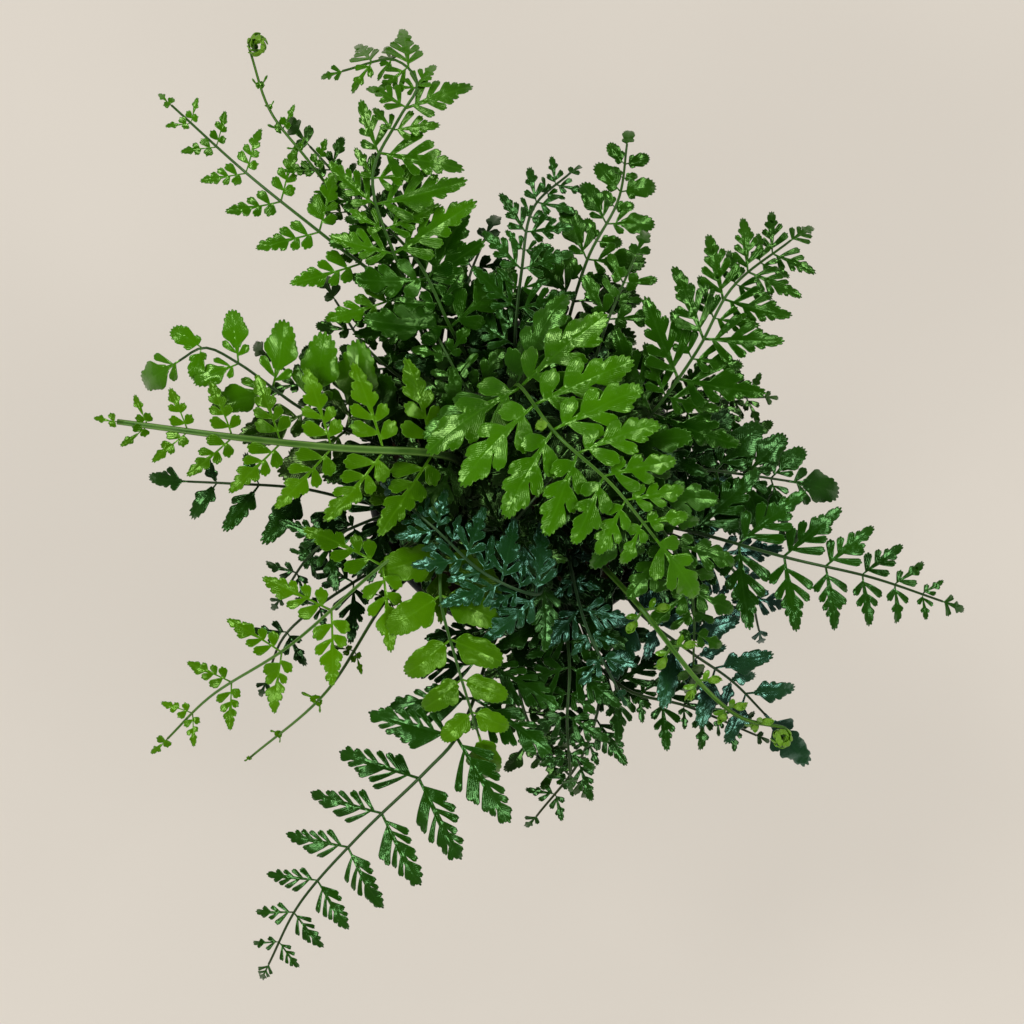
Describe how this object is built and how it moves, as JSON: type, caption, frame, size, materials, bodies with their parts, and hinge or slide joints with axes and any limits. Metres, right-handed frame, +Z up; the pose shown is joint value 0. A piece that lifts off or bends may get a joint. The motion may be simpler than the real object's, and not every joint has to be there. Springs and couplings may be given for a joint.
{
  "type": "potted austral gem fern",
  "caption": "Potted fern: glossy arching fronds of lobed leaflets, with young coiled tips, standing in soil in a plain round nursery pot.",
  "frame": {"origin": "centre of the pot's flat underside, on the surface that the pot stands on", "axes": "+Z up the pot's axis; +Y towards the top of the picture, which looks straight down; +X towards its right"},
  "size_m": [0.399, 0.4432, 0.3091],
  "materials": {
    "pot_plastic": "satin",
    "soil": "matte",
    "rhizome": "matte",
    "leaf_bright": "satin",
    "leaf_lime": "satin",
    "leaf_mid": "satin",
    "leaf_dark": "satin",
    "leaf_blue": "satin"
  },
  "bodies": {
    "root": {"pot": "pot_plastic", "soil": "soil", "rhizome": "rhizome", "frond_hero": "leaf_bright", "frond_hero_under": "leaf_mid", "frond_left_long": "leaf_lime", "frond_lime_oval": "leaf_lime", "frond_fiddle_right": "leaf_bright", "frond_ur_big": "leaf_mid", "frond_top_curl": "leaf_bright", "frond_ul_mid": "leaf_mid", "frond_ul_fiddle": "leaf_bright", "frond_ul_long": "leaf_bright", "frond_left_bright": "leaf_bright", "frond_lower_left_lime": "leaf_lime", "frond_top_inner": "leaf_mid", "frond_center_blue": "leaf_blue", "frond_bottom_feather": "leaf_dark", "frond_center_over": "leaf_mid", "frond_center_left": "leaf_mid", "frond_center_upper": "leaf_mid", "frond_top_mid_dark": "leaf_dark", "frond_top_right_thin": "leaf_mid", "frond_right_long": "leaf_dark", "frond_center_low_dark": "leaf_blue", "frond_center_right": "leaf_dark", "frond_right_upper": "leaf_dark", "frond_ur_side": "leaf_mid", "frond_right_low": "leaf_blue", "frond_low_center": "leaf_dark", "frond_left_dark": "leaf_dark", "frond_left_low_dark": "leaf_dark", "frond_ul_inner": "leaf_mid", "frond_up_inner": "leaf_dark", "frond_right_inner_upper": "leaf_mid", "frond_lower_left_thin": "leaf_lime", "frond_right_mid": "leaf_blue", "frond_low_right_row": "leaf_dark", "frond_lower_left_dark": "leaf_dark", "frond_left_inner": "leaf_mid", "frond_bottom_dark": "leaf_dark", "frond_bottom_mid": "leaf_mid", "frond_right_inner_lower": "leaf_dark"}
  },
  "joints": []
}
